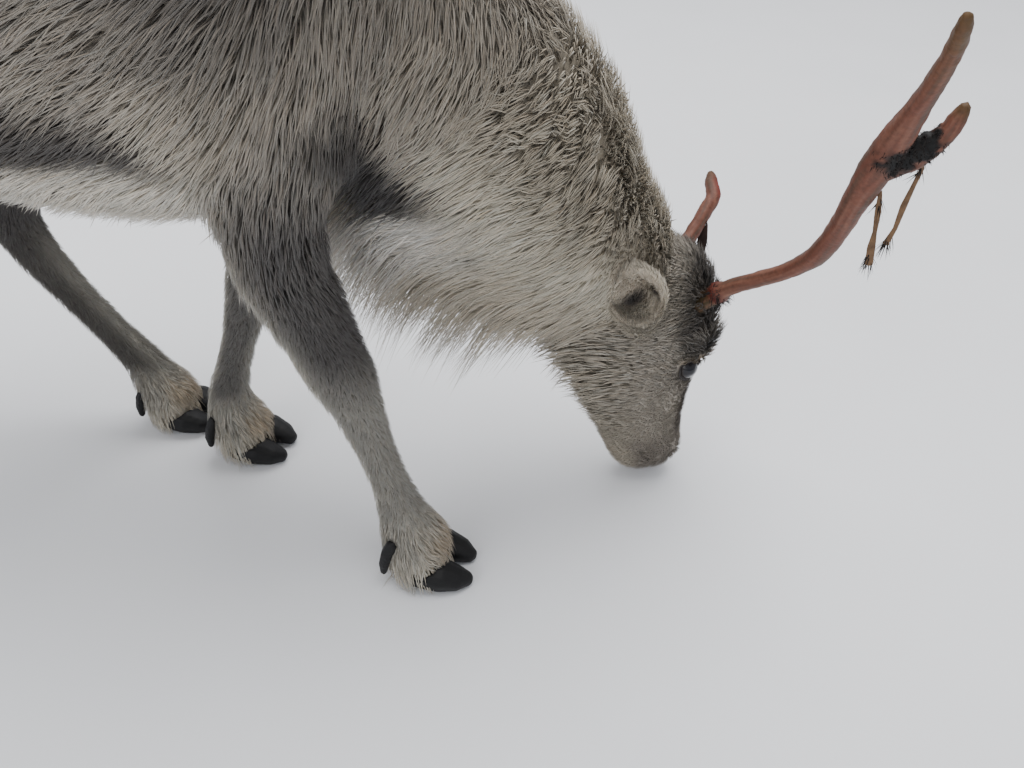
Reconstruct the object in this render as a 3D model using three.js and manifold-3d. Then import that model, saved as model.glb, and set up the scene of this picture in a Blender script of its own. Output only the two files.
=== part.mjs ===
// A life-size reindeer cow in winter coat, walking as she grazes with her muzzle near the ground.
// Millimetres. +X is forward, +Y is her left side, +Z is up. The solids are closed facet bodies.
import * as THREE from "three";
import { mergeVertices } from "three/addons/utils/BufferGeometryUtils.js";
import Module from "manifold-3d";

const wasm = await Module();
wasm.setup();

// Driving sizes
const WITHERS = 945; // height of the back over the shoulders
const GAP = 0.3; // air between two nodes that touch
const FAR = 3000; // longer than the animal, for the cutting blocks
const LEFT = 1;
const RIGHT = -1;

// Colours of the parts
const COLOURS = {
  body: 0x8b867c,
  neck: 0xb5ad9c,
  head: 0x958f82,
  legs: 0x7f7a70,
  foot: 0xb3aa96,
  hoof: 0x17171a,
  ear: 0xa39c8e,
  eye: 0x0c0f16,
  tail: 0xcfc9bc,
  antler: 0x8a4a38,
  tip: 0x8c5a32,
  velvet: 0x4a3426,
};

// Vectors
const vec = (a) => new THREE.Vector3(a[0], a[1], a[2]);
const mirrored = (a, side) => [a[0], a[1] * side, a[2]];
const turnTo = (direction) =>
  new THREE.Quaternion().setFromUnitVectors(new THREE.Vector3(0, 0, 1), vec(direction).normalize());

// A value between the stations of a row of numbers, on a smooth line through them.
function smoothAt(values, t) {
  const last = values.length - 1;
  const i = Math.min(last - 1, Math.floor(t));
  const f = t - i;
  const a = values[Math.max(0, i - 1)];
  const b = values[i];
  const c = values[i + 1];
  const d = values[Math.min(last, i + 2)];
  return 0.5 * (2 * b + (c - a) * f + (2 * a - 5 * b + 4 * c - d) * f * f + (3 * b - a - 3 * c + d) * f ** 3);
}

// The section of a row of stations at a place along it. A station is
// [x, y, z, half width, front or top, back or under], and side is the way the width lies.
function sectionAt(stations, t, side) {
  const last = stations.length - 1;
  const column = (k, at) => smoothAt(stations.map((s) => s[k]), Math.min(last - 1e-6, Math.max(0, at)));
  const place = (at) => new THREE.Vector3(column(0, at), column(1, at), column(2, at));
  const along = place(t + 0.3).sub(place(t - 0.3)).normalize();
  const wide = vec(side).normalize();
  const across = wide.addScaledVector(along, -wide.dot(along)).normalize();
  const up = new THREE.Vector3().crossVectors(along, across).normalize();
  return { centre: place(t), along, across, up, half: column(3, t), front: column(4, t), back: column(5, t) };
}

// A point round a section, square being 2 for an ellipse and more for a fuller shape.
function onSection(section, angle, square, grow) {
  const c = Math.cos(angle);
  const s = Math.sin(angle);
  const full = (Math.abs(c) ** square + Math.abs(s) ** square) ** (-1 / square);
  const a = (section.half + grow) * c * full;
  const b = ((s > 0 ? section.front : section.back) + grow) * s * full;
  return section.centre.clone().addScaledVector(section.across, a).addScaledVector(section.up, b);
}

// A closed body through a row of stations. swells are soft bumps, and cap is how far the ends bulge.
function loft(stations, options) {
  const { side = [0, 1, 0], sides = 16, steps = 2, square = 2, swells = [], grow = 0, cap = 0.45 } = options;
  const count = (stations.length - 1) * steps + 1;
  const sections = [];
  for (let r = 0; r < count; r++) sections.push(sectionAt(stations, r / steps, side));
  const points = [];
  for (const section of sections) {
    for (let k = 0; k < sides; k++) {
      const point = onSection(section, (2 * Math.PI * k) / sides, square, grow);
      const out = point.clone().sub(section.centre).normalize();
      for (const { at, radius, by } of swells) {
        const near = Math.max(0, 1 - point.distanceToSquared(vec(at)) / radius ** 2);
        point.addScaledVector(out, by * near * near);
      }
      points.push(point);
    }
  }
  for (const [section, way] of [[sections[0], -1], [sections[count - 1], 1]]) {
    const reach = cap * Math.min(section.half, section.front, section.back) + grow;
    points.push(section.centre.clone().addScaledVector(section.along, way * reach));
  }
  const index = [];
  for (let r = 0; r < count - 1; r++) {
    for (let k = 0; k < sides; k++) {
      const a = r * sides + k;
      const b = r * sides + ((k + 1) % sides);
      index.push(a, b, a + sides, b, b + sides, a + sides);
    }
  }
  for (let k = 0; k < sides; k++) {
    const next = (k + 1) % sides;
    index.push(count * sides, next, k);
    index.push(count * sides + 1, (count - 1) * sides + k, (count - 1) * sides + next);
  }
  const geometry = new THREE.BufferGeometry().setFromPoints(points);
  geometry.setIndex(index);
  return solid(geometry);
}

// A solid from a closed geometry, turned the right way round.
function solid(geometry) {
  const bare = new THREE.BufferGeometry();
  bare.setAttribute("position", geometry.getAttribute("position"));
  bare.setIndex(geometry.getIndex());
  const merged = mergeVertices(bare, 1e-3);
  const triVerts = new Uint32Array(merged.index.array);
  const vertProperties = merged.attributes.position.array;
  const made = new wasm.Manifold(new wasm.Mesh({ numProp: 3, vertProperties, triVerts }));
  if (made.volume() > 0) return made;
  triVerts.reverse();
  return new wasm.Manifold(new wasm.Mesh({ numProp: 3, vertProperties, triVerts }));
}

// An ellipsoid, turned so that its own Z lies along a direction.
function egg(at, radii, direction = [0, 0, 1], detail = 12) {
  const shape = new THREE.SphereGeometry(1, detail, Math.round(detail * 0.7));
  shape.rotateX(Math.PI / 2).scale(radii[0], radii[1], radii[2]);
  shape.applyQuaternion(turnTo(direction)).translate(at[0], at[1], at[2]);
  return solid(shape);
}

// All space on the side of a plane that its normal points to, as a large block.
function beyond(point, normal, shift = 0) {
  const block = new THREE.BoxGeometry(FAR, FAR, FAR).translate(0, 0, FAR / 2 + shift);
  block.applyQuaternion(turnTo(normal)).translate(point[0], point[1], point[2]);
  return solid(block);
}

const joined = (parts) => parts.reduce((a, b) => a.add(b));
const flipped = (normal) => normal.map((x) => -x);

// Keeps a solid's largest closed body.
function largest(shape) {
  const bodies = shape.decompose();
  return bodies.sort((a, b) => b.volume() - a.volume())[0];
}

// Parts a solid at a plane: the piece that the normal points to, and the rest, with the gap between them.
function parted(shape, point, normal) {
  return [
    largest(shape.intersect(beyond(point, normal, GAP / 2))),
    largest(shape.intersect(beyond(point, flipped(normal), GAP / 2))),
  ];
}

// Trunk: stations from the rump to the front of the chest
const TRUNK = [
  [-742, 0, 742, 62, 92, 105],
  [-700, 0, 742, 128, 142, 158],
  [-620, 0, 735, 172, 170, 190],
  [-520, 0, 716, 180, 186, 200],
  [-400, 0, 700, 194, 200, 214],
  [-260, 0, 696, 204, 202, 237],
  [-120, 0, 700, 200, 212, 250],
  [0, 0, 712, 186, WITHERS - 712, 244],
  [90, 4, 696, 150, 200, 218],
  [150, 8, 666, 92, 120, 134],
];
const trunkSwells = [LEFT, RIGHT].flatMap((s) => [
  { at: [30, 175 * s, 640], radius: 190, by: 26 }, // shoulder
  { at: [-600, 170 * s, 660], radius: 220, by: 30 }, // haunch
]);
const trunk = (grow) => loft(TRUNK, { sides: 28, square: 2.15, swells: trunkSwells, grow });

// Tail: short and broad, close to the rump
const TAIL = [
  [-706, 0, 838, 22, 15, 15],
  [-752, 0, 822, 30, 17, 18],
  [-780, 0, 778, 31, 17, 17],
  [-792, 0, 732, 24, 13, 13],
  [-796, 0, 700, 9, 6, 6],
];

// Neck: stations from the shoulders to behind the ears, and where it is parted
const NECK = [
  [20, 0, 690, 124, 180, 182],
  [90, 8, 636, 122, 162, 184],
  [155, 30, 562, 114, 152, 186],
  [220, 60, 482, 105, 136, 184],
  [284, 94, 408, 94, 100, 170],
  [342, 122, 350, 80, 74, 142],
  [384, 132, 308, 60, 54, 104],
];
const neckCore = (grow) => loft(NECK, { sides: 20, square: 2.1, grow });
const NECK_JOINT = { point: [205, 52, 500], normal: [0.6, 0.25, -0.76] };
const POLL_JOINT = { point: [362, 128, 318], normal: [0.84, 0.1, -0.54] };

// Coat of the neck: clumped locks on the nape and sides, a beard at the throat
const LOCK_ROWS = 11;
const LOCKS_ROUND = 12;
const LOCK_LENGTH = 92;
const LOCK_WIDTH = 20;
const LOCK_DEPTH = 6;
const BEARD_DROP = 62;

// Seeded chance, so that the coat comes out the same each time.
let seed = 20261;
function chance(low, high) {
  seed = (seed * 1664525 + 1013904223) % 4294967296;
  return low + ((high - low) * seed) / 4294967296;
}

// One lock: a flat strip that leaves the core, lies along it and tapers to a tip.
function lock(root, way, out, { length, width, depth, lift, drop }) {
  const down = new THREE.Vector3(0, 0, -1);
  const place = (t) => root.clone()
    .addScaledVector(way, length * t)
    .addScaledVector(out, -depth * 1.6 + lift * Math.sin(Math.PI * 0.62 * t) * 1.6)
    .addScaledVector(down, drop * t * t);
  const points = [];
  for (const [t, w, d] of [[0, 0.7, 1], [0.38, 1, 1], [0.72, 0.62, 0.8]]) {
    const along = place(t + 0.05).sub(place(t - 0.05)).normalize();
    const across = new THREE.Vector3().crossVectors(along, out).normalize();
    const over = new THREE.Vector3().crossVectors(across, along).normalize();
    for (const [a, b] of [[1, 0], [0, 1], [-1, 0], [0, -1]]) {
      points.push(place(t).addScaledVector(across, a * w * width).addScaledVector(over, b * d * depth));
    }
  }
  points.push(place(1));
  const index = [0, 2, 1, 0, 3, 2];
  for (const r of [0, 4]) {
    for (let k = 0; k < 4; k++) {
      const a = r + k;
      const b = r + ((k + 1) % 4);
      index.push(a, b, a + 4, b, b + 4, a + 4);
    }
  }
  for (let k = 0; k < 4; k++) index.push(8 + k, 8 + ((k + 1) % 4), 12);
  const geometry = new THREE.BufferGeometry().setFromPoints(points);
  geometry.setIndex(index);
  return solid(geometry);
}

// The locks of the neck, in staggered rows from the shoulders to the poll.
function neckLocks() {
  const locks = [];
  for (let r = 0; r < LOCK_ROWS; r++) {
    const t = 0.75 + (4.55 * (r + chance(-0.3, 0.3))) / (LOCK_ROWS - 1);
    const section = sectionAt(NECK, t, [0, 1, 0]);
    const behind = sectionAt(NECK, t - 0.5, [0, 1, 0]);
    for (let k = 0; k < LOCKS_ROUND; k++) {
      const angle = (2 * Math.PI * (k + (r % 2) / 2 + chance(-0.25, 0.25))) / LOCKS_ROUND;
      const root = onSection(section, angle, 2.1, 0);
      const back = onSection(behind, angle, 2.1, 0).sub(root).normalize();
      const round = onSection(section, angle + 0.1, 2.1, 0).sub(root);
      const out = new THREE.Vector3().crossVectors(back, round).normalize();
      if (out.dot(root) < out.dot(section.centre)) out.negate();
      const under = Math.max(0, -Math.sin(angle));
      const over = Math.max(0, Math.sin(angle));
      const way = back.multiplyScalar(0.75 + 0.6 * over);
      way.addScaledVector(section.across, 0.35 * Math.cos(angle));
      way.add(new THREE.Vector3(-0.25, 0, -0.8)).addScaledVector(out, -way.dot(out)).normalize();
      const size = 1 - 0.09 * Math.max(0, t - 3);
      locks.push(lock(root, way, out, {
        length: LOCK_LENGTH * size * chance(0.85, 1.2),
        width: LOCK_WIDTH * size * chance(0.85, 1.2),
        depth: LOCK_DEPTH * chance(0.85, 1.15),
        lift: size * chance(6, 11) + 12 * under,
        drop: BEARD_DROP * size * under * chance(0.7, 1.2),
      }));
    }
  }
  return locks;
}

// Head: its own frame has X to the brow, Y to her left, Z from the lips to the crown
const LIPS = [411, 130, 13];
const HEAD_TURN = [-2, -3, 20]; // degrees about X, Y and Z
const headFrame = new THREE.Matrix4()
  .makeRotationFromEuler(new THREE.Euler(...HEAD_TURN.map(THREE.MathUtils.degToRad), "ZYX"))
  .setPosition(...LIPS);
const onHead = (shape) => shape.transform(headFrame.elements);

const SKULL = [
  [-32, 0, 356, 34, 32, 60],
  [-22, 0, 328, 56, 60, 100],
  [-8, 0, 290, 64, 78, 128],
  [-4, 0, 248, 65, 84, 134],
  [-4, 0, 208, 62, 71, 126],
  [-6, 0, 170, 55, 60, 110],
  [-8, 0, 130, 47, 54, 92],
  [-9, 0, 90, 41, 50, 74],
  [-8, 0, 52, 38, 49, 60],
  [-6, 0, 24, 35, 45, 49],
  [-4, 0, 8, 24, 32, 32],
];
const EYE = [33, 49, 190];
const EYE_RADIUS = 15;
const LID = 5; // how far the lids stand round the eyeball
const skullSwells = [LEFT, RIGHT].flatMap((s) => [
  { at: [52, 44 * s, 226], radius: 42, by: 10 }, // brow over the eye
  { at: [-50, 50 * s, 190], radius: 70, by: 7 }, // cheek
  { at: [22, 34 * s, 42], radius: 32, by: 4 }, // rim of the nostril
]);
const skull = (grow) => onHead(loft(SKULL, { sides: 24, square: 2.2, swells: skullSwells, grow }));

// Eyeball, and the lids with the slit between them
const eyeball = (s, grow) => onHead(egg(mirrored(EYE, s), [0, 0, 0].map(() => EYE_RADIUS + grow)));
function lids(s) {
  const r = EYE_RADIUS + LID;
  return onHead(egg(mirrored([EYE[0] - 1, EYE[1] - 1, EYE[2]], s), [r, r - 1, r + 2], [-0.8, 0.3 * s, 0.6]));
}
function slit(s) {
  const outward = new THREE.Vector3(0.4, 0.9 * s, 0);
  const at = vec(mirrored(EYE, s)).addScaledVector(outward, 17).toArray();
  return onHead(egg(at, [8.5, 17, 17], [-0.8, 0.3 * s, 0.6]));
}

// Mouth line, from the front of the lips back along each side
function mouth(s) {
  const line = [
    [30, 2 * s, 4, 2, 2, 2],
    [6, 26 * s, 6, 2.2, 7, 7],
    [-12, 34 * s, 24, 2, 6, 6],
    [-24, 38 * s, 46, 1.2, 4, 4],
  ];
  return onHead(loft(line, { side: [0.3, 0, 1], sides: 8, steps: 2, cap: 1 }));
}
const nostril = (s) => onHead(egg([33, 33 * s, 40], [5, 8, 12], [0.45, 0.2 * s, 0.85]));

// Ear: a cup laid back beside the nape, open to the side
const EAR_ROOT = [-38, 53, 272];
const EAR_WAY = [-0.2, 0.34, 0.91];
const EAR_OPEN = [-0.28, 0.92, -0.29];
const EAR_SHAPE = [
  [0, 17, 15, 15],
  [26, 26, 22, 21],
  [62, 36, 24, 23],
  [94, 29, 17, 17],
  [116, 12, 7, 8],
];
const EAR_HOLLOW = [
  [34, 17, 44, 8],
  [62, 31, 56, 18],
  [92, 24, 50, 12],
  [108, 9, 40, 3],
];
function earRow(rows, s) {
  const way = vec(EAR_WAY).normalize();
  const row = rows.map(([at, half, front, back]) => {
    const place = vec(EAR_ROOT).addScaledVector(way, at);
    return [...mirrored(place.toArray(), s), half, front, back];
  });
  const side = new THREE.Vector3().crossVectors(vec(mirrored(EAR_OPEN, s)), vec(mirrored(EAR_WAY, s)));
  return [row, side.toArray()];
}
function ear(s) {
  const [outer, side] = earRow(EAR_SHAPE, s);
  const [inner] = earRow(EAR_HOLLOW, s);
  const cup = loft(outer, { side, sides: 14 }).subtract(loft(inner, { side, sides: 12, cap: 0.3 }));
  return onHead(cup);
}
function earRoom(s) {
  const [outer, side] = earRow(EAR_SHAPE, s);
  return onHead(loft(outer, { side, sides: 14, grow: 1 }));
}

// Antlers: round beams through stations, each [x, y, z, half width, front, back]
const BEAM_RIGHT = [
  [446, 108, 300, 13, 13, 13],
  [466, 98, 324, 11, 11, 11],
  [487, 79, 350, 10, 10, 10],
  [508, 62, 370, 10, 10, 10],
  [533, 34, 401, 10, 10, 10],
  [551, 4, 438, 11, 12, 12],
  [559, -26, 484, 11, 12, 12],
  [562, -50, 525, 12, 13, 13],
  [567, -72, 568, 12, 16, 16],
  [572, -92, 605, 11, 15, 15],
  [576, -111, 637, 10, 11, 11],
  [578, -134, 670, 9, 9, 9],
  [578, -154, 698, 8, 8, 8],
  [575, -172, 720, 7, 7, 7],
  [573, -180, 732, 4, 4, 4],
];
const TINE_RIGHT = [
  [569, -76, 572, 9, 15, 15],
  [588, -86, 591, 9, 16, 16],
  [602, -91, 603, 9, 12, 12],
  [611, -94, 617, 8, 9, 9],
  [615, -96, 629, 7, 8, 8],
  [618, -96, 640, 5, 5, 5],
];
const BEAM_LEFT = [
  [414, 168, 318, 13, 13, 13],
  [424, 186, 336, 11, 11, 11],
  [435, 205, 351, 10, 10, 10],
  [446, 224, 366, 10, 10, 10],
  [456, 246, 380, 10, 10, 10],
  [453, 270, 389, 9, 9, 9],
  [452, 286, 393, 6, 6, 6],
];
const antlerLine = (row, grow) => loft(row, { side: [0.5, 0.8, 0.3], sides: 10, steps: 1, grow });
const BURR = 15; // radius of the frayed ring at the foot of each antler

// The frayed ring at the foot of an antler.
function burr(row, grow) {
  const at = [0, 1, 2].map((k) => row[1][k] * 0.75 + row[0][k] * 0.25);
  const way = [0, 1, 2].map((k) => row[1][k] - row[0][k]);
  return egg(at, [BURR + grow, BURR + grow, 7 + grow], way, 10);
}

// Strands of shed velvet that hang from the beams
const STRANDS = {
  antler_right_velvet_front: [
    [598, -82, 588, 3, 4, 4],
    [604, -79, 576, 1.5, 2, 2],
    [602, -76, 558, 1.5, 2, 2],
    [599, -75, 537, 2, 3, 3],
    [597, -76, 515, 1.5, 2, 2],
    [592, -78, 500, 2, 3, 3],
  ],
  antler_right_velvet_back: [
    [573, -66, 560, 3, 4, 4],
    [579, -66, 541, 1.5, 2, 2],
    [581, -66, 525, 2, 3, 3],
    [583, -66, 505, 1.5, 2, 2],
    [584, -65, 488, 2.5, 4, 4],
    [586, -65, 470, 2, 4, 4],
  ],
  antler_left_velvet: [
    [444, 216, 368, 3, 6, 6],
    [447, 212, 354, 3, 6, 6],
    [448, 212, 336, 3, 7, 7],
    [448, 212, 316, 3, 6, 6],
    [447, 212, 302, 2, 4, 4],
  ],
};
const strand = (row) => loft(row, { side: [0.3, 1, 0], sides: 6, steps: 1, cap: 0.8 });

// Legs: stations from inside the trunk to the pastern. The fifth and ninth are knee and fetlock.
// toe is the middle of the claws on the floor and heading the way they point, in degrees.
const LEGS = {
  front_right: {
    side: RIGHT,
    toe: [150, 111],
    heading: 4,
    rows: [
      [62, 96, 690, 44, 74, 80],
      [34, 112, 600, 50, 76, 84],
      [8, 118, 520, 50, 62, 72],
      [14, 113, 440, 43, 46, 56],
      [36, 107, 365, 37, 40, 46],
      [55, 103, 300, 34, 38, 42],
      [66, 102, 262, 28, 30, 34],
      [80, 102, 205, 22, 23, 25],
      [94, 103, 150, 21, 23, 24],
      [104, 104, 112, 26, 27, 30],
      [112, 106, 84, 33, 34, 38],
      [126, 109, 52, 43, 38, 50],
      [136, 111, 26, 47, 33, 54],
    ],
  },
  front_left: {
    side: LEFT,
    toe: [-164, 77],
    heading: 0,
    rows: [
      [34, 92, 690, 44, 74, 80],
      [0, 108, 600, 50, 76, 84],
      [-38, 114, 520, 50, 62, 72],
      [-72, 108, 440, 43, 46, 56],
      [-98, 100, 365, 37, 40, 46],
      [-124, 94, 300, 34, 38, 42],
      [-140, 91, 262, 28, 30, 34],
      [-162, 87, 205, 22, 23, 25],
      [-182, 84, 150, 21, 23, 24],
      [-194, 82, 112, 26, 27, 30],
      [-196, 80, 84, 33, 34, 38],
      [-186, 78, 52, 43, 38, 50],
      [-176, 77, 26, 47, 33, 54],
    ],
  },
  hind_right: {
    side: RIGHT,
    toe: [-672, 120],
    heading: 3,
    rows: [
      [-560, 96, 720, 58, 110, 110],
      [-540, 118, 640, 62, 112, 118],
      [-524, 130, 560, 56, 82, 104],
      [-566, 130, 480, 44, 56, 66],
      [-618, 127, 410, 34, 44, 44],
      [-652, 125, 352, 31, 36, 44],
      [-666, 124, 304, 27, 30, 32],
      [-682, 122, 240, 24, 25, 26],
      [-698, 121, 165, 23, 23, 24],
      [-708, 120, 116, 27, 27, 29],
      [-708, 120, 84, 33, 34, 37],
      [-695, 120, 52, 42, 38, 49],
      [-684, 120, 26, 46, 33, 53],
    ],
  },
  hind_left: {
    side: LEFT,
    toe: [-298, 127],
    heading: 0,
    rows: [
      [-560, 96, 720, 58, 110, 110],
      [-520, 120, 650, 62, 116, 118],
      [-450, 138, 575, 56, 88, 100],
      [-442, 138, 490, 44, 60, 66],
      [-466, 133, 410, 36, 46, 48],
      [-484, 129, 335, 32, 36, 46],
      [-466, 128, 285, 28, 31, 33],
      [-432, 128, 225, 24, 26, 27],
      [-386, 127, 158, 23, 24, 25],
      [-354, 127, 112, 27, 28, 30],
      [-342, 127, 84, 33, 34, 37],
      [-323, 127, 52, 42, 38, 49],
      [-312, 127, 26, 46, 33, 53],
    ],
  },
};
const KNEE = 5;
const FETLOCK = 9;
function legLoft({ rows, side }, grow) {
  return loft(rows.map((row) => [...mirrored(row, side), ...row.slice(3)]), { sides: 12, steps: 1, grow });
}

// Cuts a leg across one of its stations.
function legCut(shape, { rows, side }, station) {
  const [above, at, below] = [-1, 0, 1].map((k) => vec(mirrored(rows[station + k], side)));
  return parted(shape, at.toArray(), below.sub(above).normalize().toArray());
}

// Puts a shape drawn round a foot, with X ahead and Z up, in its place on the floor.
function atFoot(shape, { toe, heading, side }) {
  return shape.rotate([0, 0, heading]).translate([toe[0], toe[1] * side, 0]);
}

// Claws: two broad ones that bear the weight, and two small ones hanging behind the pastern
const CLAW = [
  [-34, 0, 24, 14, 12, 26],
  [-14, 0, 25, 20, 18, 27],
  [8, 1, 22, 22, 16, 24],
  [29, -1, 15, 17, 11, 17],
  [44, -6, 9, 8, 6, 11],
];
const CLAW_SPREAD = 24;
const DEWCLAW = [
  [-50, 25, 72, 8, 8, 9],
  [-58, 27, 56, 9, 8, 9],
  [-63, 28, 38, 8, 7, 8],
  [-65, 28, 21, 5, 4, 5],
];
function claw(leg, s) {
  const row = CLAW.map(([x, y, z, ...sizes]) => [x, (y + CLAW_SPREAD) * s, z, ...sizes]);
  const shape = loft(row, { sides: 10, steps: 1, square: 2.3, cap: 0.6 });
  const level = shape.intersect(beyond([0, 0, 0], [0, 0, 1]));
  const apart = level.intersect(beyond([0, 0.8 * s, 0], [0, s, 0]));
  return atFoot(largest(apart), leg);
}
function dewclaw(leg, s) {
  const row = DEWCLAW.map(([x, y, ...rest]) => [x, y * s, ...rest]);
  return atFoot(loft(row, { sides: 6, steps: 1, cap: 0.7 }), leg);
}

// Putting her together
const nodes = [];
const keep = (name, shape, colour) => nodes.push([name, largest(shape), colour]);

const torso = trunk(0);
const legs = Object.entries(LEGS);
const grownLegs = joined(legs.map(([, leg]) => legLoft(leg, GAP)));
const grownTrunk = trunk(GAP);
keep("torso", torso, COLOURS.body);
keep("tail", loft(TAIL, { sides: 14 }).subtract(grownTrunk), COLOURS.tail);

const front = neckCore(0).add(skull(0));
const [headBlock, neckBlock] = parted(front, POLL_JOINT.point, POLL_JOINT.normal);
const coated = joined([neckBlock, ...neckLocks()])
  .intersect(beyond(POLL_JOINT.point, flipped(POLL_JOINT.normal), GAP / 2))
  .subtract(grownTrunk)
  .subtract(grownLegs)
  .subtract(earRoom(LEFT))
  .subtract(earRoom(RIGHT));
const [neckUpper, neckLower] = parted(coated, NECK_JOINT.point, NECK_JOINT.normal);
keep("neck_lower", neckLower, COLOURS.neck);
keep("neck_upper", neckUpper, COLOURS.neck);

const antlers = { right: BEAM_RIGHT, left: BEAM_LEFT };
let head = headBlock;
for (const s of [LEFT, RIGHT]) {
  head = head.add(lids(s)).subtract(slit(s)).subtract(eyeball(s, GAP));
  head = head.subtract(mouth(s)).subtract(nostril(s));
}
keep("head", head, COLOURS.head);

const grownHead = skull(GAP).add(neckCore(GAP));
for (const [name, s] of [["left", LEFT], ["right", RIGHT]]) {
  keep(`eye_${name}`, eyeball(s, 0), COLOURS.eye);
  keep(`ear_${name}`, ear(s).subtract(grownHead), COLOURS.ear);
  const row = antlers[name];
  const antler = antlerLine(row, 0).add(burr(row, 0)).subtract(grownHead);
  const cutAt = 2;
  const way = [0, 1, 2].map((k) => row[cutAt + 1][k] - row[cutAt - 1][k]);
  const [beam, base] = parted(antler, row[cutAt].slice(0, 3), way);
  keep(`antler_${name}_base`, base, COLOURS.antler);
  if (name === "left") {
    keep("antler_left_beam", beam, COLOURS.antler);
    continue;
  }
  const fork = 9;
  const up = [0, 1, 2].map((k) => row[fork + 1][k] - row[fork - 1][k]);
  const [mainTine, lower] = parted(beam, row[fork].slice(0, 3), up);
  keep("antler_right_beam", lower, COLOURS.antler);
  keep("antler_right_main_tine", mainTine, COLOURS.tip);
  keep("antler_right_second_tine", antlerLine(TINE_RIGHT, 0).subtract(antlerLine(row, GAP)), COLOURS.tip);
}
const grownAntlers = joined([BEAM_RIGHT, BEAM_LEFT, TINE_RIGHT].map((row) => antlerLine(row, GAP)));
for (const [name, row] of Object.entries(STRANDS)) {
  keep(name, strand(row).subtract(grownAntlers), COLOURS.velvet);
}

for (const [name, leg] of legs) {
  const shape = legLoft(leg, 0).subtract(grownTrunk);
  const [lowerLeg, upper] = legCut(shape, leg, KNEE);
  const [foot, cannon] = legCut(lowerLeg, leg, FETLOCK);
  keep(`leg_${name}_upper`, upper, COLOURS.legs);
  keep(`leg_${name}_cannon`, cannon, COLOURS.legs);
  keep(`leg_${name}_foot`, foot, COLOURS.foot);
  const grownLeg = legLoft(leg, GAP);
  for (const [which, s] of [["outer", leg.side], ["inner", -leg.side]]) {
    keep(`claw_${name}_${which}`, claw(leg, s).subtract(grownLeg), COLOURS.hoof);
    keep(`dewclaw_${name}_${which}`, dewclaw(leg, s).subtract(grownLeg), COLOURS.hoof);
  }
}

// Meshes of the finished solids
function meshOf(name, shape, colour) {
  const { numProp, numVert, vertProperties, triVerts } = shape.getMesh();
  const positions = new Float32Array(numVert * 3);
  for (let i = 0; i < numVert; i++) {
    for (let k = 0; k < 3; k++) positions[3 * i + k] = vertProperties[i * numProp + k];
  }
  const geometry = new THREE.BufferGeometry();
  geometry.setAttribute("position", new THREE.BufferAttribute(positions, 3));
  geometry.setIndex(new THREE.BufferAttribute(triVerts, 1));
  const material = new THREE.MeshStandardMaterial({ color: colour, roughness: 0.85, metalness: 0 });
  const mesh = new THREE.Mesh(geometry, material);
  mesh.name = name;
  return mesh;
}

const reindeer = new THREE.Group();
for (const [name, shape, colour] of nodes) reindeer.add(meshOf(name, shape, colour));

// The group stands with the middle of its footprint at the origin
const box = new THREE.Box3().setFromObject(reindeer);
reindeer.position.set(-(box.min.x + box.max.x) / 2, -(box.min.y + box.max.y) / 2, -box.min.z);
export default reindeer;
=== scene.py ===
import math

import bmesh
import bpy
import numpy as np
from mathutils import Matrix, Vector
from mathutils.kdtree import KDTree


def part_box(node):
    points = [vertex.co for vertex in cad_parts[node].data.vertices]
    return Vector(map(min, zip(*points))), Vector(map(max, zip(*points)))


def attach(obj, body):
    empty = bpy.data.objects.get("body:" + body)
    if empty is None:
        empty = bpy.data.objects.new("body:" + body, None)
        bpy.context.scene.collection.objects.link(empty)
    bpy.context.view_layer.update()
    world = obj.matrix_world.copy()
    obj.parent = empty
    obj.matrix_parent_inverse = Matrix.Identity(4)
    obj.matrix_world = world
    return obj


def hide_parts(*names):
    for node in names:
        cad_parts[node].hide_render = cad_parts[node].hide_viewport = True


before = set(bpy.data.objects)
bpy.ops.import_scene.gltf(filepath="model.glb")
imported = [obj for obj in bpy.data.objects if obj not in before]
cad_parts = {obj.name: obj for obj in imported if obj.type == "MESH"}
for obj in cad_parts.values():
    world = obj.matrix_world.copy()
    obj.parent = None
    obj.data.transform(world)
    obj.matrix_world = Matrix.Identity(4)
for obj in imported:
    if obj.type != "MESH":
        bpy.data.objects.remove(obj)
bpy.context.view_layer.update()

MM = 0.001
rng = np.random.default_rng(11)

# Rows of stations in millimetres, as in the CAD source: centre, half width, and reach to the front and back
TRUNK = [
    (-742, 0, 742, 62, 92, 105), (-700, 0, 742, 128, 142, 158), (-620, 0, 735, 172, 170, 190),
    (-520, 0, 716, 180, 186, 200), (-400, 0, 700, 194, 200, 214), (-260, 0, 696, 204, 202, 237),
    (-120, 0, 700, 200, 212, 250), (0, 0, 712, 186, 233, 244), (90, 4, 696, 150, 200, 218),
    (150, 8, 666, 92, 120, 134),
]
NECK = [
    (20, 0, 690, 124, 180, 182), (90, 8, 636, 122, 162, 184), (155, 30, 562, 114, 152, 186),
    (220, 60, 482, 105, 136, 184), (284, 94, 408, 94, 100, 170), (342, 122, 350, 80, 74, 142),
    (384, 132, 308, 60, 54, 104),
]
SKULL = [
    (-32, 0, 356, 34, 32, 60), (-22, 0, 328, 56, 60, 100), (-8, 0, 290, 64, 78, 128),
    (-4, 0, 248, 65, 84, 134), (-4, 0, 208, 62, 71, 126), (-6, 0, 170, 55, 60, 110),
    (-8, 0, 130, 47, 54, 92), (-9, 0, 90, 41, 50, 74), (-8, 0, 52, 38, 49, 60),
    (-6, 0, 24, 35, 45, 49), (-4, 0, 8, 24, 32, 32),
]
TAIL = [
    (-706, 0, 838, 22, 15, 15), (-752, 0, 822, 30, 17, 18), (-780, 0, 778, 31, 17, 17),
    (-792, 0, 732, 24, 13, 13), (-796, 0, 700, 9, 6, 6),
]
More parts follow.
